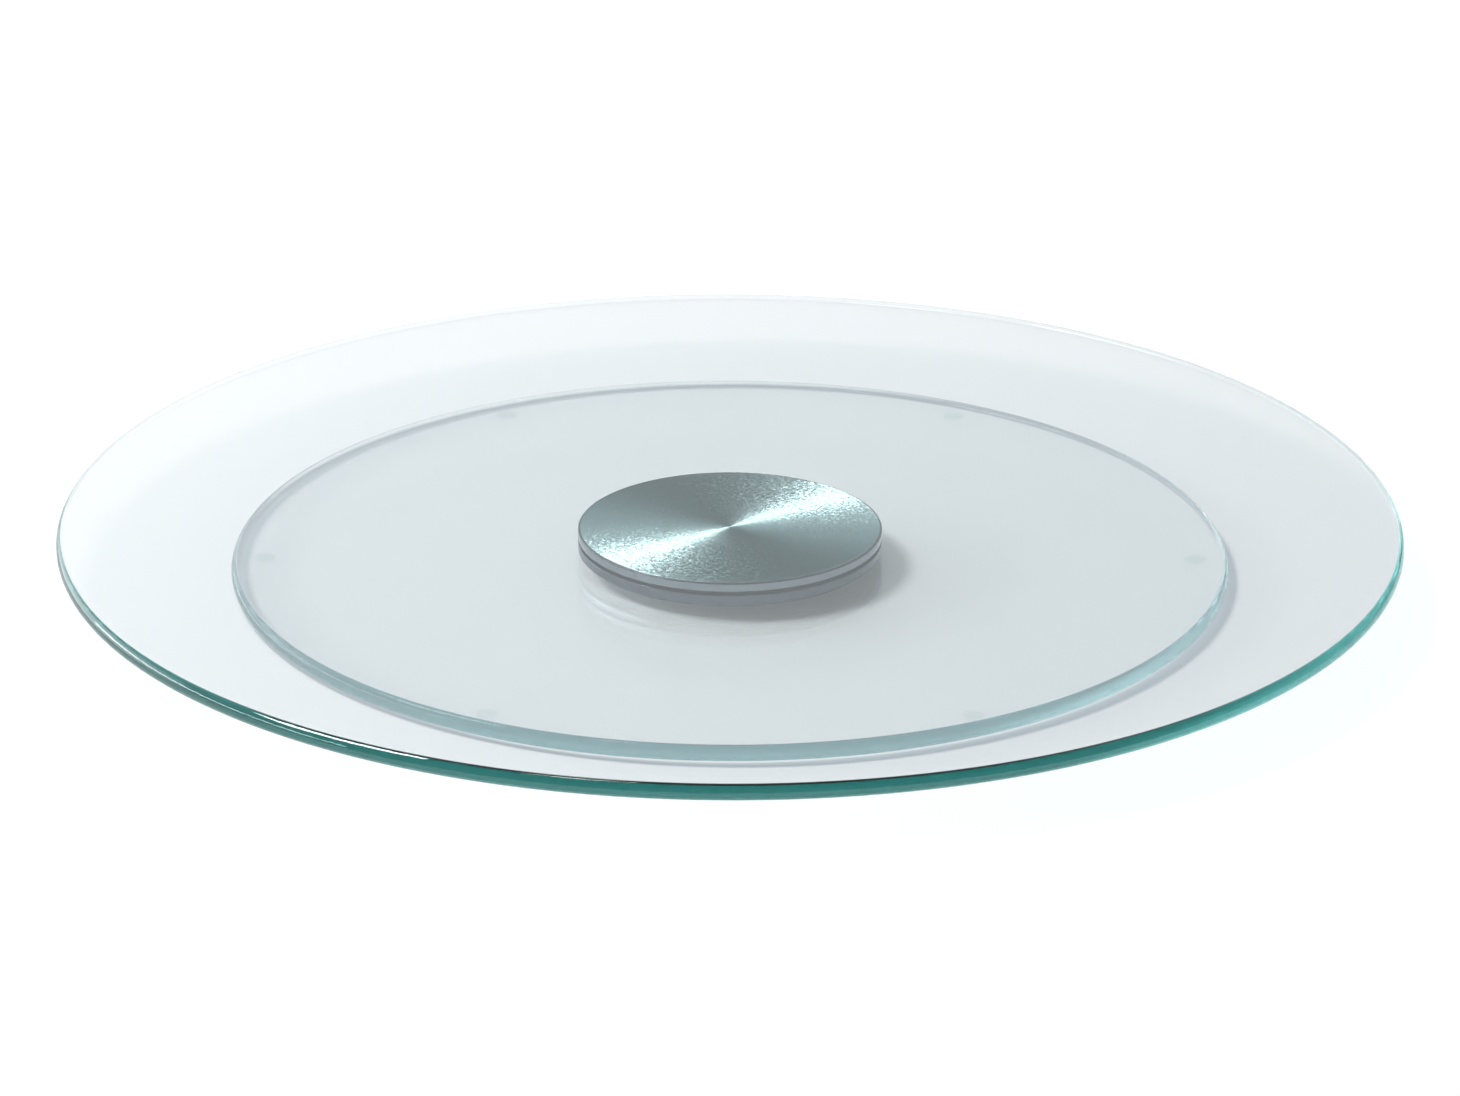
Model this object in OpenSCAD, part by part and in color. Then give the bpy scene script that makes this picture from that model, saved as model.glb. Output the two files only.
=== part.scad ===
// Glass turntable (lazy Susan). A large round glass top turns on a low
// aluminium bearing hub, and the hub stands on a smaller round glass base.
// Millimetres, +Z up along the turning axis. The origin is on that axis, at
// the level of the surface that the turntable stands on.

/* [Glass discs] */
// Diameter of the turning top disc
top_d = 650; // [500:10:900]
// Thickness of the top disc
top_t = 8; // [6:1:12]
// Diameter of the base disc
base_d = 482; // [360:2:600]
// Thickness of the base disc
base_t = 8; // [6:1:12]

/* [Pads] */
// Number of clear anti-slip pads under the base disc
pad_n = 6; // [3:1:8]
// Diameter of a pad
pad_d = 10; // [8:1:20]
// Height of a pad
pad_h = 1; // [0.8:0.1:2]
// Distance from the base disc's edge to a pad's centre
pad_inset = 16; // [12:1:40]

/* [Hub] */
// Outside diameter of both hub plates
hub_d = 147; // [140:1:200]
// Height of each plate's polished rim
rim_h = 4.8; // [4.4:0.2:7]
// Open gap between the two rims
rim_gap = 0.8; // [0.6:0.1:1.2]
// Height of the recessed foot under the lower rim
foot_h = 3; // [2.6:0.1:4]
// How far the foot stands back from the rim
foot_inset = 4; // [2:0.5:4]
// Thickness of each clear adhesive film
bond_t = 0.3; // [0.2:0.1:0.5]
// Thickness of the top plate over the bearing
top_web = 2.2; // [2:0.1:3]
// Thickness of the base plate under the bearing
base_web = 3; // [3:0.1:4]

/* [Bearing] */
// Diameter of the bearing balls
ball_d = 5; // [4.5:0.1:5.5]
// Number of balls
ball_n = 24; // [12:1:36]
// Diameter of the circle through the balls' centres
pitch_d = 96; // [90:1:98]
// Width of the two steel races
race_w = 18; // [16:0.5:18]
// Screws in each race
race_screw_n = 6; // [3:1:8]

/* [Spindle] */
// Diameter of the spindle
spindle_d = 10; // [8:0.5:10]
// Radial running clearance of the spindle in its bush
spindle_play = 0.05; // [0.02:0.01:0.08]

/* [Hidden] */
$fn = 96;

// Radii of the big pieces
top_r = top_d / 2;
base_r = base_d / 2;
hub_r = hub_d / 2;
foot_r = hub_r - foot_inset;

// Levels from the table up to the top of the top disc
z_base = pad_h;
z_base_bond = z_base + base_t;
z_foot = z_base_bond + bond_t;
z_low_rim = z_foot + foot_h;
z_gap = z_low_rim + rim_h;
z_high_rim = z_gap + rim_gap;
z_top_bond = z_high_rim + rim_h;
z_top = z_top_bond + bond_t;

// Hollow inside the hub, and the level of the balls' centres
z_floor = z_foot + base_web;
z_ceiling = z_top_bond - top_web;
z_mid = (z_floor + z_ceiling) / 2;

// Rims: chamfers, wall of the top plate, lip and dust ring of the base plate
edge_chamfer = 0.3;
face_chamfer = 0.5;
wall_r = hub_r - 5;
lip_gap = 1;
lip_w = 2;
lip_r = wall_r - lip_gap;
lip_rise = 2.2;
ring_seat_depth = 0.8;
ring_r = hub_r - 2.5;
ring_play = 0.1;
ring_clear = 0.3;

// Adhesive films
film_inset = 0.6;

// Bearing
pitch_r = pitch_d / 2;
ball_r = ball_d / 2;
ball_play = 0.05;
pocket_play = 0.15;
cage_t = 2;
cage_clear = 0.3;
cage_w = ball_d + 4;
race_r0 = pitch_r - race_w / 2;
race_t = (z_ceiling - z_floor - cage_t) / 2 - cage_clear;

// Race screws
race_screw_r = 1.25;
race_screw_head_r = 2.5;
race_screw_circle = race_r0 + 3.4;
race_screw_hole_r = 1.4;
race_screw_bite = 1.4;
hex_size = 1.5;
hex_depth = 0.8;

// Spindle, its bush and what holds it
spindle_r = spindle_d / 2;
spindle_bite = 1.2;
shoulder_r = spindle_r + 3;
shoulder_t = 0.75;
washer_t = 0.5;
axial_play = 0.05;
bush_r = spindle_r + 2;
bush_flange_r = spindle_r + 4.5;
bush_flange_t = 0.9;
boss_r = spindle_r + 7;
z_flange_top = z_mid - 0.1;
z_boss = z_flange_top - bush_flange_t;
z_thrust = z_flange_top + axial_play;
z_shoulder = z_thrust + washer_t;
z_socket = z_shoulder + shoulder_t;
well_r = spindle_r + 6.5;
well_depth = 3.5;
z_well = z_foot + well_depth;
spring_t = 0.3;
spring_h = 0.5;
spring_r0 = spindle_r + 0.3;
spring_r1 = spindle_r + 4;
z_spindle = z_well - axial_play - spring_h;
keeper_r = spindle_r + 4.5;
keeper_t = 1;
end_screw_r = 2;
end_screw_head_r = 4.5;
end_screw_head_t = 1.3;
end_screw_reach = 5.8;
end_screw_hex = 3;

// A ring or disc about the turning axis, from radius r0 to r1
module ring(r0, r1, z, h) {
    translate([0, 0, z]) rotate_extrude() translate([r0, 0]) square([r1 - r0, h]);
}

// Copies of a piece spaced evenly about the turning axis
module around(n, r, turn = 0) {
    for (i = [0 : n - 1]) rotate([0, 0, turn + i * 360 / n]) translate([r, 0, 0]) children();
}

// A glass disc with a fully rounded, polished edge
module glass_disc(r, t, z) {
    translate([0, 0, z]) rotate_extrude() {
        square([r - t / 2, t]);
        translate([r - t / 2, t / 2]) circle(r = t / 2);
    }
}

// One steel race: a flat ring with a ball groove and countersunk holes.
// side is 1 where the groove faces up and -1 where it faces down.
module race(z, side) {
    z_face = side > 0 ? z + race_t : z;
    difference() {
        translate([0, 0, z]) rotate_extrude() difference() {
            translate([race_r0, 0]) square([race_w, race_t]);
            translate([pitch_r, z_mid - z]) circle(r = ball_r + ball_play);
        }
        around(race_screw_n, race_screw_circle) {
            translate([0, 0, z - 1]) cylinder(h = race_t + 2, r = race_screw_hole_r);
            translate([0, 0, z_face]) countersink(-side, race_screw_head_r);
        }
    }
}

// The cone of a countersunk head, with its wide end at the origin.
// way is -1 where the cone narrows downwards and 1 where it narrows upwards.
module countersink(way, r) {
    depth = r - race_screw_r;
    if (way < 0) translate([0, 0, -depth]) cylinder(h = depth, r1 = race_screw_r, r2 = r);
    else cylinder(h = depth, r1 = r, r2 = race_screw_r);
}

// Countersunk socket screws whose heads lie flush at level z_face
module race_screws(z_face, way, reach) {
    around(race_screw_n, race_screw_circle) difference() {
        union() {
            translate([0, 0, z_face]) countersink(way, race_screw_head_r);
            translate([0, 0, way < 0 ? z_face - reach : z_face]) cylinder(h = reach, r = race_screw_r);
        }
        translate([0, 0, way < 0 ? z_face - hex_depth : z_face - 1])
            cylinder(h = hex_depth + 1, d = hex_size / cos(30), $fn = 6);
    }
}

// Blind holes that the race screws bite into
module race_screw_holes(z, h) {
    around(race_screw_n, race_screw_circle) translate([0, 0, z]) cylinder(h = h, r = race_screw_r);
}

module top_glass() {
    color([0.62, 0.86, 0.82, 0.45]) glass_disc(top_r, top_t, z_top);
}

module base_glass() {
    color([0.68, 0.86, 0.86, 0.45]) glass_disc(base_r, base_t, z_base);
}

module top_bond() {
    color([0.9, 0.95, 0.95, 0.6]) ring(0, hub_r - face_chamfer - film_inset, z_top_bond, bond_t);
}

module base_bond() {
    color([0.9, 0.95, 0.95, 0.6]) ring(well_r + 1, foot_r - edge_chamfer - film_inset, z_base_bond, bond_t);
}

module base_pads() {
    color([0.92, 0.95, 0.95, 0.7]) around(pad_n, base_r - pad_inset) rotate_extrude() polygon([
        [0, 0], [pad_d / 2 - edge_chamfer, 0], [pad_d / 2, edge_chamfer], [pad_d / 2, pad_h], [0, pad_h]
    ]);
}

// Spun aluminium cap: flat face against the top disc, polished rim, and a
// boss with a blind socket that the spindle is pressed into
module hub_top_plate() {
    z_socket_end = z_ceiling + spindle_bite;
    color([0.72, 0.77, 0.77]) difference() {
        rotate_extrude() polygon([
            [0, z_socket_end], [spindle_r, z_socket_end], [spindle_r, z_socket], [boss_r, z_socket],
            [boss_r, z_ceiling], [wall_r, z_ceiling], [wall_r, z_high_rim],
            [hub_r - edge_chamfer, z_high_rim], [hub_r, z_high_rim + edge_chamfer],
            [hub_r, z_top_bond - face_chamfer], [hub_r - face_chamfer, z_top_bond], [0, z_top_bond]
        ]);
        race_screw_holes(z_ceiling - 1, race_screw_bite + 1);
    }
}

// Turned aluminium base: recessed foot, polished rim, an upstanding lip that
// hides the bearing behind the gap, and a bored boss for the spindle's bush
module hub_base_plate() {
    z_seat = z_gap - ring_seat_depth;
    z_lip = z_high_rim + lip_rise - rim_gap;
    color([0.70, 0.75, 0.76]) difference() {
        rotate_extrude() polygon([
            [bush_r, z_well], [well_r, z_well], [well_r, z_foot],
            [foot_r - edge_chamfer, z_foot], [foot_r, z_foot + edge_chamfer], [foot_r, z_low_rim],
            [hub_r - edge_chamfer, z_low_rim], [hub_r, z_low_rim + edge_chamfer],
            [hub_r, z_gap - edge_chamfer], [hub_r - edge_chamfer, z_gap],
            [ring_r, z_gap], [ring_r, z_seat], [lip_r, z_seat], [lip_r, z_lip], [lip_r - lip_w, z_lip],
            [lip_r - lip_w, z_floor], [boss_r, z_floor], [boss_r, z_boss], [bush_r, z_boss]
        ]);
        race_screw_holes(z_floor - race_screw_bite, race_screw_bite + 1);
    }
}

// Black ring that closes the gap between the two rims against crumbs
module dust_ring() {
    z_seat = z_gap - ring_seat_depth;
    color([0.08, 0.09, 0.10])
        ring(lip_r + ring_play, ring_r - ring_play, z_seat, z_high_rim - ring_clear - z_seat);
}

module lower_race() {
    color([0.55, 0.57, 0.60]) race(z_floor, 1);
}

module upper_race() {
    color([0.55, 0.57, 0.60]) race(z_ceiling - race_t, -1);
}

module lower_race_screws() {
    color([0.35, 0.36, 0.38]) race_screws(z_floor + race_t, -1, race_t + race_screw_bite);
}

module upper_race_screws() {
    color([0.35, 0.36, 0.38]) race_screws(z_ceiling - race_t, 1, race_t + race_screw_bite);
}

module bearing_balls() {
    color([0.80, 0.82, 0.85]) around(ball_n, pitch_r) translate([0, 0, z_mid]) sphere(r = ball_r);
}

// Nylon ring that keeps the balls evenly spaced
module ball_cage() {
    color([0.93, 0.92, 0.86]) difference() {
        ring(pitch_r - cage_w / 2, pitch_r + cage_w / 2, z_mid - cage_t / 2, cage_t);
        around(ball_n, pitch_r) translate([0, 0, z_mid - cage_t])
            cylinder(h = 2 * cage_t, r = ball_r + pocket_play);
    }
}

// Steel pin pressed into the top plate, with a shoulder and a tapped end
module spindle() {
    color([0.50, 0.52, 0.55]) rotate_extrude() polygon([
        [end_screw_r, z_spindle], [spindle_r, z_spindle], [spindle_r, z_shoulder],
        [shoulder_r, z_shoulder], [shoulder_r, z_socket], [spindle_r, z_socket],
        [spindle_r, z_ceiling + spindle_bite], [0, z_ceiling + spindle_bite],
        [0, z_spindle + end_screw_reach], [end_screw_r, z_spindle + end_screw_reach]
    ]);
}

module spindle_bush() {
    color([0.72, 0.55, 0.28]) rotate_extrude() polygon([
        [spindle_r + spindle_play, z_well], [bush_r, z_well], [bush_r, z_boss],
        [bush_flange_r, z_boss], [bush_flange_r, z_flange_top], [spindle_r + spindle_play, z_flange_top]
    ]);
}

module thrust_washer() {
    color([0.88, 0.88, 0.84]) ring(spindle_r + 0.1, shoulder_r + 1, z_thrust, washer_t);
}

// Coned spring washer that takes up the end play of the spindle
module disc_spring() {
    color([0.42, 0.44, 0.47]) rotate_extrude() polygon([
        [spring_r0, z_spindle], [spring_r0 + 0.4, z_spindle], [spring_r1, z_spindle + spring_h - spring_t],
        [spring_r1, z_spindle + spring_h], [spring_r1 - 0.4, z_spindle + spring_h],
        [spring_r0, z_spindle + spring_t]
    ]);
}

module retaining_washer() {
    color([0.60, 0.62, 0.65]) ring(end_screw_r + 0.2, keeper_r, z_spindle - keeper_t, keeper_t);
}

// Low-head socket screw into the end of the spindle
module retaining_screw() {
    z_head = z_spindle - keeper_t - end_screw_head_t;
    color([0.35, 0.36, 0.38]) difference() {
        rotate_extrude() polygon([
            [0, z_head], [end_screw_head_r - edge_chamfer, z_head],
            [end_screw_head_r, z_head + edge_chamfer], [end_screw_head_r, z_head + end_screw_head_t],
            [end_screw_r, z_head + end_screw_head_t], [end_screw_r, z_spindle + end_screw_reach - 0.5],
            [0, z_spindle + end_screw_reach - 0.5]
        ]);
        translate([0, 0, z_head - 1]) cylinder(h = 1 + end_screw_head_t * 0.7, d = end_screw_hex / cos(30), $fn = 6);
    }
}

top_glass();
top_bond();
hub_top_plate();
upper_race();
upper_race_screws();
bearing_balls();
ball_cage();
lower_race();
lower_race_screws();
hub_base_plate();
dust_ring();
spindle();
spindle_bush();
thrust_washer();
disc_spring();
retaining_washer();
retaining_screw();
base_bond();
base_glass();
base_pads();
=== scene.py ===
import math

import bmesh
import bpy
from mathutils import Matrix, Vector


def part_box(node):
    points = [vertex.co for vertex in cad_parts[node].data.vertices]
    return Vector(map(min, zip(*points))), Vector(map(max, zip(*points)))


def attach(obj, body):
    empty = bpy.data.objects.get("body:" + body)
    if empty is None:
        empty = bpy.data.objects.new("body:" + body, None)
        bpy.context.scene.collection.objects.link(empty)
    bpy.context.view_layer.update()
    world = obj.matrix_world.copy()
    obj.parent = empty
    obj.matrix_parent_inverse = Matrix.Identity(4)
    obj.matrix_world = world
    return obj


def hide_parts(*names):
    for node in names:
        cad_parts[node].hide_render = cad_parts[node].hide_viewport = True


MM = 0.001
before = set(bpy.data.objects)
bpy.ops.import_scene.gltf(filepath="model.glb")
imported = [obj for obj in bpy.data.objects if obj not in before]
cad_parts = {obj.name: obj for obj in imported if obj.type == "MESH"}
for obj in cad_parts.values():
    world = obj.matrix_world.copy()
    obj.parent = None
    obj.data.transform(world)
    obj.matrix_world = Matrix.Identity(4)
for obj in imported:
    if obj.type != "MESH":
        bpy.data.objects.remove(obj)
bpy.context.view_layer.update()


# ---------------------------------------------------------------- sizes that the frame doesn't give

BALLS = 24
RACE_SCREWS = 6   # in each race
PADS = 6

SPINDLE_R = 5 * MM
PAD_R = 5 * MM
RACE_HALF_WIDTH = 9 * MM
SCREW_INSET = 3.4 * MM    # from the inner edge of a race to its screws
BUSH_FLANGE = 0.9 * MM
RING_PLAY = 0.1 * MM      # on each side of the black ring
BALL_PLAY = 0.06 * MM     # keeps the balls clear of the race grooves
HAIRLINE = 0.02 * MM      # keeps clear films from lying in the very plane of the glass

GLASS_IOR = 1.52
SILICONE_IOR = 1.41
LINE_DEPTH = 0.01 * MM    # of the turning lines in bare metal
PORE_DEPTH = 0.02 * MM    # of the grain in moulded plastic

SPUN_ROUGHNESS = 0.43
SPUN_LINE = 1.5 * MM      # how wide the lathe lines of the hub's face are
SPUN_LEAN = 0.65          # how far they lean to one side, as a slope

ROOM_FRONT, ROOM_BACK = 0.30, 0.95   # how bright the walls are
ROOM_HIGH_DIM = 0.22                 # the share of it that is missing just above eye level
ROOM_TOP_DIM = 0.5                   # overhead
ROOM_RIGHT_DIM = 0.45                # at the right
WINDOW = 3.0                         # how much brighter the window is
WINDOW_AT = (140, 9)                 # azimuth and elevation
WINDOW_EDGE = (0.84, 0.985)          # cosines where its light begins and is full


# ---------------------------------------------------------------- sizes from the frame

def radius_of(node):
    """Half the width of a round CAD node."""
    low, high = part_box(node)
    return (high.x - low.x) / 2


def levels_of(node):
    """The lowest and highest level of a CAD node."""
    low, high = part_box(node)
    return low.z, high.z


top_r = radius_of("top_glass")
base_r = radius_of("base_glass")
hub_r = radius_of("hub_top_plate")
foot_r = hub_r - 4 * MM
wall_r = hub_r - 5 * MM
lip_r = wall_r - 1 * MM
ring_seat_r = hub_r - 2.5 * MM
film_r = hub_r - 1.1 * MM
bush_r = SPINDLE_R + 2 * MM
well_r = SPINDLE_R + 6.5 * MM
boss_r = SPINDLE_R + 7 * MM
base_film_r0 = well_r + 1 * MM
base_film_r1 = foot_r - 0.9 * MM

top_z0, top_z1 = levels_of("top_glass")
base_z0, base_z1 = levels_of("base_glass")
ring_z0, ring_z1 = levels_of("dust_ring")
foot_z, lip_z = levels_of("hub_base_plate")
well_z, flange_z = levels_of("spindle_bush")
boss_z = flange_z - BUSH_FLANGE
socket_z = levels_of("hub_top_plate")[0]
socket_end_z = levels_of("spindle")[1]
floor_z = levels_of("lower_race")[0]
ceiling_z = levels_of("upper_race")[1]
film_z = levels_of("top_bond")[0]
high_rim_z = ring_z1 + 0.85 * MM
gap_z = floor_z + (film_z - high_rim_z)   # both rims are of one height


# ---------------------------------------------------------------- camera and lamps

def make_camera():
    """A long lens, a little above the table, aimed just under the middle of the glass top."""
    distance, elevation = 13 * top_r, math.radians(21.46)
    aim_below, roll = math.radians(0.172), math.radians(0.13)
    data = bpy.data.cameras.new("camera")
    data.sensor_width, data.lens = 36.0, 215.7
    data.clip_start, data.clip_end = 0.1, 60
    camera = bpy.data.objects.new("camera", data)
    camera.matrix_world = (
        Matrix.Translation((0, -distance * math.cos(elevation), top_z1 + distance * math.sin(elevation)))
        @ Matrix.Rotation(math.pi / 2 - elevation - aim_below, 4, "X")
        @ Matrix.Rotation(roll, 4, "Z")
    )
    bpy.context.scene.collection.objects.link(camera)
    bpy.context.scene.camera = camera


def softbox(name, azimuth, elevation, distance, tall, wide, watts):
    """A rectangular lamp that faces the hub. Azimuth turns from +X towards +Y, in degrees."""
    data = bpy.data.lights.new(name, "AREA")
    data.shape, data.size, data.size_y, data.energy = "RECTANGLE", tall, wide, watts
    lamp = bpy.data.objects.new(name, data)
    lamp.matrix_world = (
        Matrix.Rotation(math.radians(azimuth), 4, "Z")
        @ Matrix.Rotation(math.radians(90 - elevation), 4, "Y")
        @ Matrix.Translation((0, 0, distance))
    )
    bpy.context.scene.collection.objects.link(lamp)


# ---------------------------------------------------------------- node graphs

class Wire:
    """One output of a node. Arithmetic on it adds Math nodes, so a pattern reads as a formula."""

    def __init__(self, graph, out):
        self.graph, self.out = graph, out

    def also(self, output):
        """Another output of the same node."""
        return Wire(self.graph, self.out.node.outputs[output])

    def __add__(self, other):
        return self.graph.math("ADD", self, other)

    def __radd__(self, other):
        return self.graph.math("ADD", other, self)

    def __sub__(self, other):
        return self.graph.math("SUBTRACT", self, other)

    def __rsub__(self, other):
        return self.graph.math("SUBTRACT", other, self)

    def __mul__(self, other):
        return self.graph.math("MULTIPLY", self, other)

    def __rmul__(self, other):
        return self.graph.math("MULTIPLY", other, self)

    def __truediv__(self, other):
        return self.graph.math("DIVIDE", self, other)

    def __rtruediv__(self, other):
        return self.graph.math("DIVIDE", other, self)

    def __gt__(self, other):
        return self.graph.math("GREATER_THAN", self, other)

    def __lt__(self, other):
        return self.graph.math("LESS_THAN", self, other)


class Graph:
    """A node tree under construction."""

    def __init__(self, tree):
        self.tree = tree

    def node(self, kind, settings=None, sockets=None, output=0):
        """Adds a node: its settings first, then the values or wires of its sockets."""
        made = self.tree.nodes.new(kind)
        for name, value in (settings or {}).items():
            setattr(made, name, value)
        for name, value in (sockets or {}).items():
            if isinstance(value, Wire):
                self.tree.links.new(value.out, made.inputs[name])
            else:
                made.inputs[name].default_value = value
        return Wire(self, made.outputs[output]) if len(made.outputs) else made

    def math(self, operation, *values):
        return self.node("ShaderNodeMath", {"operation": operation}, dict(enumerate(values)))

    def clamped(self, value):
        """The value, held between 0 and 1."""
        return self.node("ShaderNodeMath", {"operation": "ADD", "use_clamp": True}, {0: value, 1: 0.0})

    def ease(self, value, low, high):
        """0 below low, 1 above high, and a smooth rise between."""
        return self.node("ShaderNodeMapRange", {"interpolation_type": "SMOOTHSTEP"}, {
            "Value": value, "From Min": low, "From Max": high})

    def vector(self, operation, *values, output=0):
        return self.node("ShaderNodeVectorMath", {"operation": operation}, dict(enumerate(values)), output)

    def join(self, x, y, z):
        return self.node("ShaderNodeCombineXYZ", {}, {0: x, 1: y, 2: z})

    def split(self, vector):
        """The three parts of a vector."""
        x = self.node("ShaderNodeSeparateXYZ", {}, {0: vector})
        return x, x.also(1), x.also(2)

    def place(self):
        """The point of the surface, in metres. Its X and Y are measured from the turning axis."""
        return self.node("ShaderNodeTexCoord", {}, {}, "Object")

    def reach(self, x, y):
        """How far a point is from the turning axis."""
        return self.math("SQRT", x * x + y * y)

    def mix(self, factor, first, second):
        """A blend of two colours, each given as red, green and blue."""
        return self.node("ShaderNodeMix", {"data_type": "RGBA"}, {
            0: factor, 6: (*first, 1), 7: (*second, 1)}, 2)

    def noise(self, vector, scale, detail=2.0, roughness=0.5):
        return self.node("ShaderNodeTexNoise", {}, {
            "Vector": vector, "Scale": scale, "Detail": detail, "Roughness": roughness})

    def bump(self, strength, depth, height):
        return self.node("ShaderNodeBump", {}, {"Strength": strength, "Distance": depth, "Height": height})

    def see_through(self, colour):
        return self.node("ShaderNodeBsdfTransparent", {}, {"Color": (*colour, 1)})

    def choose(self, factor, first, second):
        """The first shader where the factor is 0, and the second where it is 1."""
        return self.node("ShaderNodeMixShader", {}, {0: factor, 1: first, 2: second})

    def surface(self, shader, **more):
        """Ends a material's tree."""
        self.node("ShaderNodeOutputMaterial", {}, {"Surface": shader, **more})

    def principled(self, **sockets):
        """The main shader. A socket's name is written with _ for its spaces."""
        return self.node("ShaderNodeBsdfPrincipled", {}, {
            name.replace("_", " "): value for name, value in sockets.items()})


def new_material(name):
    """An empty material, and the graph that its nodes go into."""
    made = bpy.data.materials.new(name)
    made.use_nodes = True
    made.node_tree.nodes.clear()
    return made, Graph(made.node_tree)


# ---------------------------------------------------------------- finishes

def lamps_shine_through(g, seen, clear, shadow=None):
    """The shader that is seen, but clear for rays that only carry light: from a diffuse surface, from
    brushed metal and to lamps. A shadow shader may stand in for the clear one on the way to lamps."""
    path = g.node("ShaderNodeLightPath")
    mirrored = g.choose(path.also("Is Singular Ray"), clear, seen)
    seen = g.choose(path.also("Is Glossy Ray"), seen, mirrored)
    seen = g.choose(path.also("Is Diffuse Ray"), seen, clear)
    return g.choose(path.also("Is Shadow Ray"), seen, shadow or clear)


def glass(name, tint, absorbed, density, lamp_tint, edge_r=None, edge_tint=None):
    """Float glass: faintly clouded, toned a little at each face and coloured by its depth. Where the tone
    is
    grey it is painted shade: it darkens all that is seen through the glass. The light of the lamps takes
    lamp_tint as it passes, and past edge_r, where the polished edge bends it away, edge_tint."""
    made, g = new_material(name)
    place = g.place()
    cloud = g.noise(place, 14.0, detail=4.0, roughness=0.6)
    body = g.principled(
        Base_Color=g.mix(cloud, [0.99 * part for part in tint], tint),
        Roughness=0.0,
        IOR=GLASS_IOR,
        Transmission_Weight=1.0,
    )
    clear = g.see_through(lamp_tint)
    shadow = None
    if edge_r:
        x, y, _ = g.split(place)
        shadow = g.choose(g.reach(x, y) > edge_r, clear, g.see_through(edge_tint))
    depth = g.node("ShaderNodeVolumeAbsorption", {}, {"Color": (*absorbed, 1), "Density": density})
    g.surface(lamps_shine_through(g, body, clear, shadow), Volume=depth)
    return made


def wetted_glass(name):
    """Glass that the adhesive wets. It has no surface of its own to see, but it is plain glass to light
    that another face of the disc has thrown back."""
    made, g = new_material(name)
    cloud = g.noise(g.place(), 60.0, detail=3.0)
    seen = g.choose(cloud, g.see_through((0.985, 0.99, 0.99)), g.see_through((1.0, 1.0, 1.0)))
    skin = g.principled(
        Base_Color=(1.0, 1.0, 1.0, 1),
        Roughness=0.0,
        IOR=GLASS_IOR,
        Transmission_Weight=1.0,
    )
    path = g.node("ShaderNodeLightPath")
    inside = g.choose(path.also("Is Singular Ray"), seen, skin)
    g.surface(g.choose(path.also("Is Reflection Ray"), seen, inside))
    return made


def metal(name, colour, worn, roughness, lines, pitch=0.25 * MM, bump=0.15):
    """Bare metal with turning lines about the axis."""
    made, g = new_material(name)
    place = g.place()
    x, y, z = g.split(place)
    reach = g.reach(x, y)
    fine = g.noise(g.join(reach / pitch, z / pitch, 0.0), 1.0, detail=3.0, roughness=0.7)
    broad = g.noise(g.join(reach / (6 * pitch), z / pitch, 7.0), 1.0)
    patch = g.noise(place, 35.0, detail=3.0)
    grain = fine * 0.6 + broad * 0.4
    g.surface(g.principled(
        Base_Color=g.mix(g.clamped(patch * 0.5 + grain * 0.5), colour, worn),
        Metallic=1.0,
        Roughness=g.clamped(roughness + (grain - 0.5) * lines),
        Normal=g.bump(bump, LINE_DEPTH, grain),
    ))
    return made


def spun_face(name, colour, worn):
    """Aluminium faced on a lathe. Its lines run about the axis and throw a bright bow tie. Each line leans
    a little to one side, and the lean changes along it, which softens the edges of the bow tie."""
    made, g = new_material(name)
    x, y, _ = g.split(g.place())
    reach = g.reach(x, y)
    around = g.vector("NORMALIZE", g.join(0.0 - y, x, 0.0))
    leans = []
    for pitch, runs, seed in ((1.4 * MM, 32.0, 0.0), (0.8 * MM, 60.0, 5.0)):
        spot = g.join(x / reach * runs, y / reach * runs + seed, reach / pitch)
        leans.append(g.noise(spot, 1.0, detail=1.0) - 0.5)
    lean = (leans[0] * 0.6 + leans[1] * 0.4) * SPUN_LEAN
    lines = g.noise(g.join(reach / SPUN_LINE, 3.0, 0.0), 1.0, detail=3.0, roughness=0.8)
    leaning = g.node("ShaderNodeVectorMath", {"operation": "SCALE"}, {0: around, "Scale": lean})
    g.surface(g.principled(
        Base_Color=g.mix(lines, colour, worn),
        Metallic=1.0,
        Roughness=g.clamped(SPUN_ROUGHNESS + (lines - 0.5) * 0.08),
        Anisotropic=1.0,
        Anisotropic_Rotation=0.25,
        Normal=g.vector("NORMALIZE", g.vector("ADD", g.bump(0.1, LINE_DEPTH, lines), leaning)),
    ))
    return made


def plastic(name, colour, shade, roughness):
    """Moulded plastic with a fine matt grain."""
    made, g = new_material(name)
    place = g.place()
    patch = g.noise(place, 60.0, detail=3.0)
    pores = g.noise(place, 2500.0)
    g.surface(g.principled(
        Base_Color=g.mix(patch, colour, shade),
        Roughness=g.clamped(roughness + (pores - 0.5) * 0.2),
        Normal=g.bump(0.5, PORE_DEPTH, pores),
    ))
    return made


def clear_silicone(name):
    """Soft clear pad: frosted a little where it was moulded."""
    made, g = new_material(name)
    frost = g.noise(g.place(), 900.0, detail=3.0)
    body = g.principled(
        Base_Color=g.mix(frost, (0.96, 0.98, 0.98), (1.0, 1.0, 1.0)),
        Roughness=g.clamped(0.12 + frost * 0.12),
        IOR=SILICONE_IOR,
        Transmission_Weight=1.0,
    )
    g.surface(lamps_shine_through(g, body, g.see_through((0.96, 0.97, 0.97))))
    return made


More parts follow.
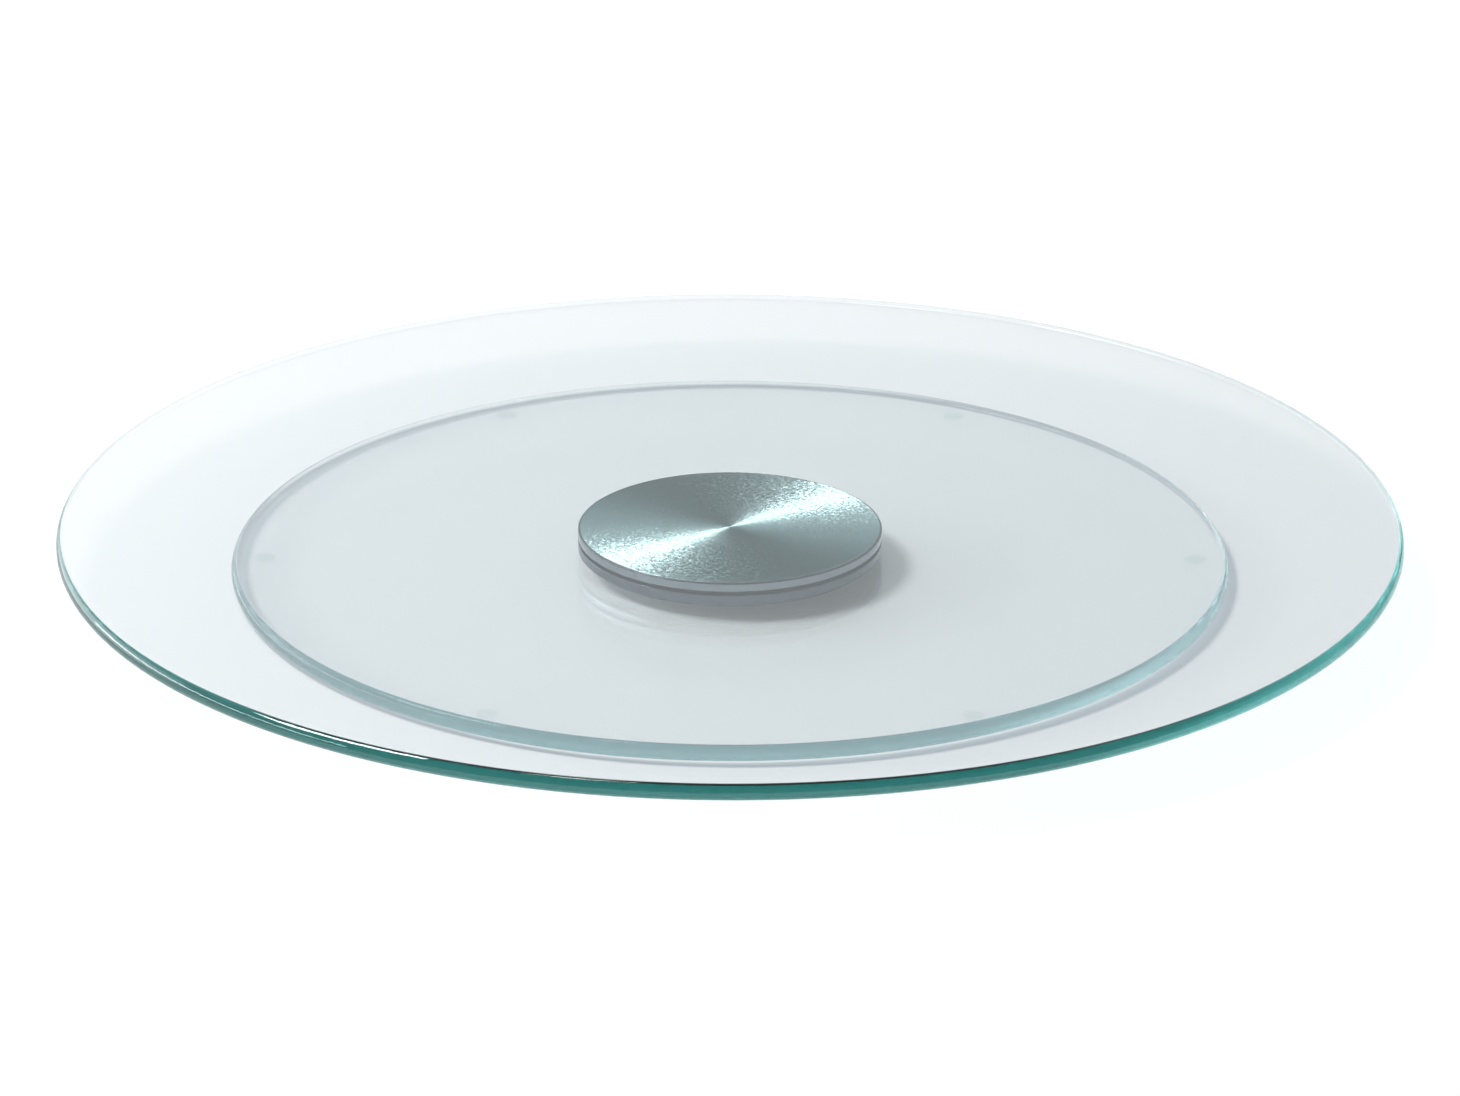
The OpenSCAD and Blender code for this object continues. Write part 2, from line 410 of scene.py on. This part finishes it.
def studio_floor(name):
    """Matt white paper that glows a little."""
    made, g = new_material(name)
    cloud = g.noise(g.place(), 1.5)
    g.surface(g.principled(
        Base_Color=g.mix(cloud, (0.90, 0.905, 0.91), (0.93, 0.93, 0.93)),
        Roughness=0.9,
        Specular_IOR_Level=0.0,
        Emission_Color=(1.0, 1.0, 1.0, 1),
        Emission_Strength=0.10,
    ))
    return made


# ---------------------------------------------------------------- turned pieces

def arc(r, z, radius, start, end, steps=6):
    """Points of a round corner about (r, z), from one angle to another, in degrees."""
    angles = [math.radians(start + (end - start) * i / steps) for i in range(steps + 1)]
    return [(r + radius * math.cos(a), z + radius * math.sin(a)) for a in angles]


def new_piece(name, mesh):
    piece = bpy.data.objects.new(name, mesh)
    bpy.context.scene.collection.objects.link(piece)
    return piece


def turned(name, stretches, steps=256, sharp=35):
    """Turns a closed outline about the axis. Each stretch is (material, [(r, z), ...]); a radius may be a
    function of the angle, for a hexagon socket."""
    materials = list(dict.fromkeys(stretch[0] for stretch in stretches))
    points = [(r, z, materials.index(finish)) for finish, places in stretches for r, z in places]
    bm = bmesh.new()
    rings = []
    for r, z, _ in points:
        if r == 0:
            rings.append([bm.verts.new((0, 0, z))])
            continue
        ring = []
        for i in range(steps):
            a = 2 * math.pi * i / steps
            reach = r(a) if callable(r) else r
            ring.append(bm.verts.new((reach * math.cos(a), reach * math.sin(a), z)))
        rings.append(ring)
    for k, (here, there) in enumerate(zip(rings, rings[1:] + rings[:1], strict=True)):
        if len(here) == 1 and len(there) == 1:
            continue
        for i in range(steps):
            j = (i + 1) % steps
            corners = [here[i % len(here)], here[j % len(here)]]
            corners += [there[j % len(there)], there[i % len(there)]]
            face = bm.faces.new(list(dict.fromkeys(corners)))
            face.material_index, face.smooth = points[k][2], True
    bmesh.ops.recalc_face_normals(bm, faces=bm.faces)
    mesh = bpy.data.meshes.new(name)
    bm.to_mesh(mesh)
    bm.free()
    for finish in materials:
        mesh.materials.append(finish)
    mesh.set_sharp_from_angle(angle=math.radians(sharp))
    return new_piece(name, mesh)


# ---------------------------------------------------------------- geometry node pieces

def geometry_tree(name, inputs):
    """A new geometry node tree with named inputs, and a wire for each of them."""
    tree = bpy.data.node_groups.new(name, "GeometryNodeTree")
    for title, kind in inputs:
        tree.interface.new_socket(title, in_out="INPUT", socket_type="NodeSocket" + kind)
    tree.interface.new_socket("Geometry", in_out="OUTPUT", socket_type="NodeSocketGeometry")
    g = Graph(tree)
    source = g.node("NodeGroupInput")
    return tree, g, {title: source.also(title) for title, _ in inputs}


def finish_tree(g, geometry, *dressings):
    """Every tree ends in real geometry with its materials. Each dressing is (where, material)."""
    shape = g.node("GeometryNodeRealizeInstances", {}, {0: geometry})
    for where, material in dressings:
        shape = g.node("GeometryNodeSetMaterial", {}, {
            "Geometry": shape, "Selection": where, "Material": material})
    g.node("NodeGroupOutput", {}, {0: shape})


def grown(name, tree, values):
    """Runs a tree with these inputs and keeps the result as a plain mesh."""
    piece = new_piece(name, bpy.data.meshes.new(name + "_seed"))
    modifier = piece.modifiers.new("shape", "NODES")
    modifier.node_group = tree
    for item in tree.interface.items_tree:
        if item.in_out == "INPUT":
            modifier[item.identifier] = values[item.name]
    now = bpy.context.evaluated_depsgraph_get()
    mesh = bpy.data.meshes.new_from_object(piece.evaluated_get(now), depsgraph=now)
    piece.modifiers.clear()
    if mesh.materials[0] is None:   # left over from the empty mesh that the tree started on
        mesh.materials.pop(index=0)
    piece.data = mesh
    mesh.name = name
    return piece


def disc_tree():
    """A round glass disc with a pencil edge, from a grid that is wrapped about the axis. Its face has a
    ring at each side of the bonded patch, and a guard ring beside the edge that keeps the face flat. It is
    smooth all over, because a ray that enters by a smooth face and leaves by a flat one stays coloured.
    Bonded side is -1 for the lower face, 1 for the upper and 0 for neither."""
    tree, g, given = geometry_tree("glass disc", [
        ("Radius", "Float"), ("Thickness", "Float"), ("Level", "Float"), ("Edge depth", "Float"),
        ("Bond inside", "Float"), ("Bond outside", "Float"), ("Bonded side", "Float"),
        ("Glass", "Material"), ("Wetted glass", "Material")])
    around, face_steps, edge_steps = 480, 4, 24
    guard, weld = 0.4 * MM, 0.002 * MM
    steps = 2 * face_steps + edge_steps
    grid = g.node("GeometryNodeMeshGrid", {}, {
        "Size X": 1.0, "Size Y": 1.0, "Vertices X": steps + 1, "Vertices Y": around + 1})
    x, y, _ = g.split(g.node("GeometryNodeInputPosition"))
    along = (x + 0.5) * steps
    angle = (0.5 - y) * (2 * math.pi)
    inward = g.math("MINIMUM", along, steps - along)
    flat_r = given["Radius"] - given["Edge depth"]
    inside, outside = given["Bond inside"], given["Bond outside"]
    reach = (
        g.clamped(inward) * inside
        + g.clamped(inward - 1) * (outside - inside)
        + g.clamped(inward - 2) * (flat_r - guard - outside)
        + g.clamped(inward - 3) * guard
    )
    sweep = (g.clamped((along - face_steps) / edge_steps) - 0.5) * math.pi
    r = reach + given["Edge depth"] * g.math("COSINE", sweep)
    z = given["Level"] + given["Thickness"] * 0.5 * (1 + g.math("SINE", sweep))
    wrapped = g.join(r * g.math("COSINE", angle), r * g.math("SINE", angle), z)
    shape = g.node("GeometryNodeSetPosition", {}, {"Geometry": grid, "Position": wrapped})
    shape = g.node("GeometryNodeMergeByDistance", {}, {"Geometry": shape, "Distance": weld})
    shape = g.node("GeometryNodeSetShadeSmooth", {}, {"Geometry": shape, "Shade Smooth": True})
    x, y, z = g.split(g.node("GeometryNodeInputPosition"))
    r = g.reach(x, y)
    height = (z - given["Level"]) / given["Thickness"] - 0.5   # 0.5 on the upper face, -0.5 on the lower
    on_bond = (r > inside) * (r < outside) * (height * given["Bonded side"] > 0.25)
    finish_tree(g, shape, (True, given["Glass"]), (on_bond, given["Wetted glass"]))
    return tree


def circle_tree():
    """Copies of one piece, evenly spaced about the turning axis."""
    tree, g, given = geometry_tree("copies about the axis", [
        ("Copies", "Int"), ("Circle", "Float"), ("Piece", "Object"), ("Material", "Material")])
    circle = g.node("GeometryNodeMeshCircle", {}, {"Vertices": given["Copies"], "Radius": given["Circle"]})
    x, y, _ = g.split(g.node("GeometryNodeInputPosition"))
    piece = g.node("GeometryNodeObjectInfo", {}, {"Object": given["Piece"]}, "Geometry")
    copies = g.node("GeometryNodeInstanceOnPoints", {}, {
        "Points": circle, "Instance": piece, "Rotation": g.join(0.0, 0.0, g.math("ARCTAN2", y, x))})
    finish_tree(g, copies, (True, given["Material"]))
    return tree


def copies_of(pattern, name, tree, count, circle, material):
    """A ring of copies of a pattern piece, which is then thrown away."""
    made = grown(name, tree, {"Copies": count, "Circle": circle, "Piece": pattern, "Material": material})
    made.data.set_sharp_from_angle(angle=math.radians(35))
    bpy.data.objects.remove(pattern)
    return made


# ---------------------------------------------------------------- patterns for the copies

def hexagon(across):
    """The radius of a hexagon of this size across its flats, at each angle."""
    return lambda a: across / 2 / math.cos((a % (math.pi / 3)) - math.pi / 6)


def ball_pattern(material, z, r):
    """One ball on the axis."""
    outline = [(0, z - r)] + arc(0, z, r, -90, 90, 14)[1:-1] + [(0, z + r)]
    return turned("ball_pattern", [(material, outline)], steps=28, sharp=80)


def screw_pattern(material, face_z, way, length):
    """One countersunk socket screw, standing on the axis. way is 1 where its point is up, -1 where down."""
    head_r, head_bevel, shank_r = 2.5 * MM, 0.1 * MM, 1.25 * MM
    socket, socket_depth = 1.5 * MM, 0.8 * MM
    pitch, thread_depth = 0.45 * MM, 0.12 * MM
    point_length, point_slant = 0.4 * MM, 0.3 * MM
    head_length = head_r - shank_r
    neck = face_z + way * head_length
    tip = face_z + way * length
    outline = [
        (0, face_z + way * socket_depth), (hexagon(socket), face_z + way * socket_depth),
        (hexagon(socket), face_z), (head_r - head_bevel, face_z), (head_r, face_z + way * head_bevel),
        (shank_r, neck)]
    for k in range(int((length - head_length - point_length) / pitch)):
        outline.append((shank_r - thread_depth, neck + way * (k + 0.5) * pitch))
        outline.append((shank_r, neck + way * (k + 1) * pitch))
    outline += [(shank_r - point_slant, tip), (0, tip)]
    return turned("screw_pattern", [(material, outline)], steps=36)


def pad_pattern(material, low, high):
    """One round pad with a rounded foot."""
    bevel = 0.3 * MM
    outline = [(0, low)] + arc(PAD_R - bevel, low + bevel, bevel, -90, 0)
    outline += [(PAD_R, high - HAIRLINE), (0, high - HAIRLINE)]
    return turned("pad_pattern", [(material, outline)], steps=48)


# ---------------------------------------------------------------- the object

def settle(piece, body, node):
    """The piece rides on its body and stands for its CAD node."""
    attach(piece, body)
    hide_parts(node)


def make_glass():
    """The turning top and the base, and the clear film that bonds each to the hub."""
    top_t, base_t = top_z1 - top_z0, base_z1 - base_z0
    # The top's grey tone is painted shade: it darkens the floor and the hub seen through it, while the
    # floor outside stays white.
    top_glass = glass("top_glass", tint=(0.845, 0.845, 0.85), absorbed=(0.04, 0.63, 0.60), density=4.5,
                      lamp_tint=(0.95, 0.945, 0.95))
    base_glass = glass("base_glass", tint=(1.0, 1.0, 1.0), absorbed=(0.30, 0.67, 0.69), density=2.9,
                       lamp_tint=(1.0, 1.0, 1.0), edge_r=base_r - base_t / 2, edge_tint=(0.30, 0.36, 0.42))
    wetted = wetted_glass("wetted_glass")
    tree = disc_tree()
    top = grown("glass_top", tree, {
        "Radius": top_r, "Thickness": top_t, "Level": top_z0, "Edge depth": top_t / 2,
        "Bond inside": 0.0, "Bond outside": film_r, "Bonded side": -1.0,
        "Glass": top_glass, "Wetted glass": wetted})
    settle(top, "turntable", "top_glass")
    base = grown("glass_base", tree, {
        "Radius": base_r, "Thickness": base_t, "Level": base_z0, "Edge depth": base_t / 2,
        "Bond inside": base_film_r0, "Bond outside": base_film_r1, "Bonded side": 0.0,
        "Glass": base_glass, "Wetted glass": wetted})
    settle(base, "base", "base_glass")
    film = wetted_glass("adhesive")
    upper = turned("adhesive_upper", [(film, [
        (0, film_z + HAIRLINE), (film_r, film_z + HAIRLINE),
        (film_r, top_z0 - HAIRLINE), (0, top_z0 - HAIRLINE)])])
    settle(upper, "turntable", "top_bond")
    lower = turned("adhesive_lower", [(film, [
        (base_film_r0, base_z1 + HAIRLINE), (base_film_r1, base_z1 + HAIRLINE),
        (base_film_r1, foot_z - HAIRLINE), (base_film_r0, foot_z - HAIRLINE)])])
    settle(lower, "base", "base_bond")


def make_hub():
    """The two aluminium plates and the black ring between their rims."""
    # The face's teal grey is painted light and shade: the teal stands in for light coming through the glass
    # above, and the grey for dim reflections.
    face = spun_face("spun_face", colour=(0.38, 0.505, 0.505), worn=(0.49, 0.62, 0.62))
    # The upper rim is painted darker than bare aluminium: painted shade standing in for the dim room that
    # it reflects.
    high_rim = metal("polished_rim_painted_shade", colour=(0.19, 0.225, 0.245), worn=(0.24, 0.275, 0.30),
                     roughness=0.2, lines=0.1, pitch=0.3 * MM)
    # The lower plate's outside is darker still: painted shade for the shadowed floor that it reflects.
    low_rim = metal("lower_rim_painted_shade", colour=(0.09, 0.11, 0.13), worn=(0.12, 0.145, 0.165),
                    roughness=0.25, lines=0.1, pitch=0.3 * MM)
    # The shoulder round the face is nearly black: a painted dark line standing in for dark reflections and
    # shade at the edge of the bond.
    shoulder = metal("shoulder_painted_dark_line", colour=(0.05, 0.06, 0.065), worn=(0.07, 0.08, 0.085),
                     roughness=0.3, lines=0.1)
    inner = metal("turned_aluminium", colour=(0.60, 0.62, 0.63), worn=(0.68, 0.70, 0.70),
                  roughness=0.32, lines=0.15)
    black = plastic("black_nylon", colour=(0.012, 0.014, 0.016), shade=(0.02, 0.022, 0.025), roughness=0.5)
    bevel, face_bevel, ring_bevel, lip_width = 0.3 * MM, 0.6 * MM, 0.2 * MM, 2 * MM
    cap = turned("hub_cap", [
        (inner, [(0, socket_end_z), (SPINDLE_R, socket_end_z), (SPINDLE_R, socket_z), (boss_r, socket_z),
                 (boss_r, ceiling_z), (wall_r, ceiling_z), (wall_r, high_rim_z)]),
        (high_rim, arc(hub_r - bevel, high_rim_z + bevel, bevel, -90, 0)),
        (shoulder, arc(hub_r - face_bevel, film_z - face_bevel, face_bevel, 0, 90)),
        (face, [(film_r, film_z), (0, film_z)]),
    ], steps=360)
    settle(cap, "turntable", "hub_top_plate")
    hub_base = turned("hub_base", [
        (inner, [(bush_r, well_z), (well_r, well_z), (well_r, foot_z)]),
        (low_rim, arc(foot_r - bevel, foot_z + bevel, bevel, -90, 0) + [(foot_r, floor_z)]
         + arc(hub_r - bevel, floor_z + bevel, bevel, -90, 0)
         + arc(hub_r - bevel, gap_z - bevel, bevel, 0, 90)),
        (inner, [(ring_seat_r, gap_z), (ring_seat_r, ring_z0), (lip_r, ring_z0), (lip_r, lip_z),
                 (lip_r - lip_width, lip_z), (lip_r - lip_width, floor_z), (boss_r, floor_z),
                 (boss_r, boss_z), (bush_r, boss_z)]),
    ], steps=360)
    settle(hub_base, "base", "hub_base_plate")
    ring_r0, ring_r1 = lip_r + RING_PLAY, ring_seat_r - RING_PLAY
    ring = turned("crumb_ring", [(black, [(ring_r0, ring_z0), (ring_r1, ring_z0)]
                                  + arc(ring_r1 - ring_bevel, ring_z1 - ring_bevel, ring_bevel, 0, 90)
                                  + [(ring_r0, ring_z1)])])
    settle(ring, "base", "dust_ring")


def make_bearing():
    """The ring of balls and the screws that hold the races."""
    ball_steel = metal("ball_steel", colour=(0.78, 0.79, 0.81), worn=(0.82, 0.83, 0.85),
                       roughness=0.08, lines=0.03, bump=0.02)
    screw_steel = metal("screw_steel", colour=(0.16, 0.165, 0.17), worn=(0.24, 0.24, 0.25),
                        roughness=0.35, lines=0.1)
    tree = circle_tree()
    low, high = levels_of("bearing_balls")
    ball_r = (high - low) / 2
    pitch_r = radius_of("bearing_balls") - ball_r
    ball = ball_pattern(ball_steel, (low + high) / 2, ball_r - BALL_PLAY)
    balls = copies_of(ball, "balls", tree, BALLS, pitch_r, ball_steel)
    settle(balls, "ball_ring", "bearing_balls")
    screw_circle = pitch_r - RACE_HALF_WIDTH + SCREW_INSET
    low, high = levels_of("upper_race_screws")
    screw = screw_pattern(screw_steel, low, 1, high - low)
    upper = copies_of(screw, "screws_upper", tree, RACE_SCREWS, screw_circle, screw_steel)
    settle(upper, "turntable", "upper_race_screws")
    low, high = levels_of("lower_race_screws")
    screw = screw_pattern(screw_steel, high, -1, high - low)
    lower = copies_of(screw, "screws_lower", tree, RACE_SCREWS, screw_circle, screw_steel)
    settle(lower, "base", "lower_race_screws")


def make_pads():
    """The clear pads that the base glass stands on."""
    clear = clear_silicone("clear_silicone")
    low, high = levels_of("base_pads")
    pad = pad_pattern(clear, low, high)
    pads = copies_of(pad, "pads", circle_tree(), PADS, radius_of("base_pads") - PAD_R, clear)
    settle(pads, "base", "base_pads")


def dress_inner_nodes():
    """The CAD nodes that stay as they are, each with its own finish."""
    race_steel = metal("race_steel", colour=(0.50, 0.51, 0.53), worn=(0.58, 0.59, 0.60),
                       roughness=0.25, lines=0.12, pitch=0.4 * MM)
    pin_steel = metal("spindle_steel", colour=(0.46, 0.47, 0.49), worn=(0.55, 0.55, 0.57),
                      roughness=0.28, lines=0.15)
    spring_steel = metal("spring_steel", colour=(0.20, 0.21, 0.26), worn=(0.30, 0.29, 0.30),
                         roughness=0.3, lines=0.1)
    dark_steel = metal("dark_steel", colour=(0.16, 0.165, 0.17), worn=(0.24, 0.24, 0.25),
                       roughness=0.35, lines=0.1)
    bronze = metal("bronze", colour=(0.52, 0.33, 0.13), worn=(0.62, 0.42, 0.18), roughness=0.4, lines=0.1)
    nylon = plastic("nylon", colour=(0.80, 0.78, 0.70), shade=(0.86, 0.84, 0.77), roughness=0.45)
    acetal = plastic("acetal", colour=(0.82, 0.82, 0.79), shade=(0.88, 0.88, 0.85), roughness=0.35)
    finishes = {
        "upper_race": race_steel,
        "lower_race": race_steel,
        "ball_cage": nylon,
        "spindle": pin_steel,
        "spindle_bush": bronze,
        "thrust_washer": acetal,
        "disc_spring": spring_steel,
        "retaining_washer": pin_steel,
        "retaining_screw": dark_steel,
    }
    for node, finish in finishes.items():
        for material_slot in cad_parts[node].material_slots:
            material_slot.material = finish


# ---------------------------------------------------------------- the studio

def direction(azimuth, elevation):
    """A unit vector. Azimuth turns from +X towards +Y, in degrees."""
    a, e = math.radians(azimuth), math.radians(elevation)
    return math.cos(e) * math.cos(a), math.cos(e) * math.sin(a), math.sin(e)


def studio_room():
    """A pale room: brightest low down at the back, darker in front, overhead and at the right, with a
    window at the back left."""
    world = bpy.data.worlds.new("studio")
    world.use_nodes = True
    world.node_tree.nodes.clear()
    g = Graph(world.node_tree)
    way = g.node("ShaderNodeTexCoord", {}, {}, "Generated")
    x, y, z = g.split(way)
    walls = ROOM_FRONT + (ROOM_BACK - ROOM_FRONT) * g.ease(y, -0.5, 0.5)
    high = 1 - ROOM_HIGH_DIM * g.ease(z, 0.18, 0.35)
    top = 1 - ROOM_TOP_DIM * g.ease(z, 0.4, 0.95)
    right = 1 - ROOM_RIGHT_DIM * g.ease(x, 0.1, 0.7)
    towards_window = g.vector("DOT_PRODUCT", way, direction(*WINDOW_AT), output=1)
    light = walls * high * top * right + WINDOW * g.ease(towards_window, *WINDOW_EDGE)
    shade = g.node("ShaderNodeBackground", {}, {"Color": (0.91, 0.965, 1.0, 1), "Strength": light})
    g.node("ShaderNodeOutputWorld", {}, {"Surface": shade})
    return world


def make_floor():
    """A wide sheet, a hair below the pads."""
    reach, level = 12.0, -0.05 * MM
    mesh = bpy.data.meshes.new("floor")
    corners = [(-reach, -reach), (reach, -reach), (reach, reach), (-reach, reach)]
    mesh.from_pydata([(x, y, level) for x, y in corners], [], [(0, 1, 2, 3)])
    mesh.materials.append(studio_floor("studio_floor"))
    new_piece("floor", mesh)


def make_studio():
    """The room, the floor and three lamps. Light may bounce often, because it runs round in the discs."""
    scene = bpy.context.scene
    scene.view_settings.view_transform = "Standard"
    scene.world = studio_room()
    scene.cycles.max_bounces = 64
    scene.cycles.transmission_bounces = 64
    scene.cycles.glossy_bounces = 64
    scene.cycles.diffuse_bounces = 3
    scene.cycles.transparent_max_bounces = 24
    scene.cycles.caustics_reflective = False
    scene.cycles.caustics_refractive = False
    scene.cycles.sample_clamp_indirect = 6.0
    make_floor()
    softbox("key", azimuth=157, elevation=57, distance=3.2, tall=0.90, wide=0.90, watts=85)
    softbox("overhead", azimuth=122, elevation=72, distance=2.5, tall=0.25, wide=0.25, watts=3.5)
    softbox("side", azimuth=176, elevation=18, distance=2.5, tall=0.30, wide=3.00, watts=26)


make_camera()
make_studio()
make_glass()
make_hub()
make_bearing()
make_pads()
dress_inner_nodes()
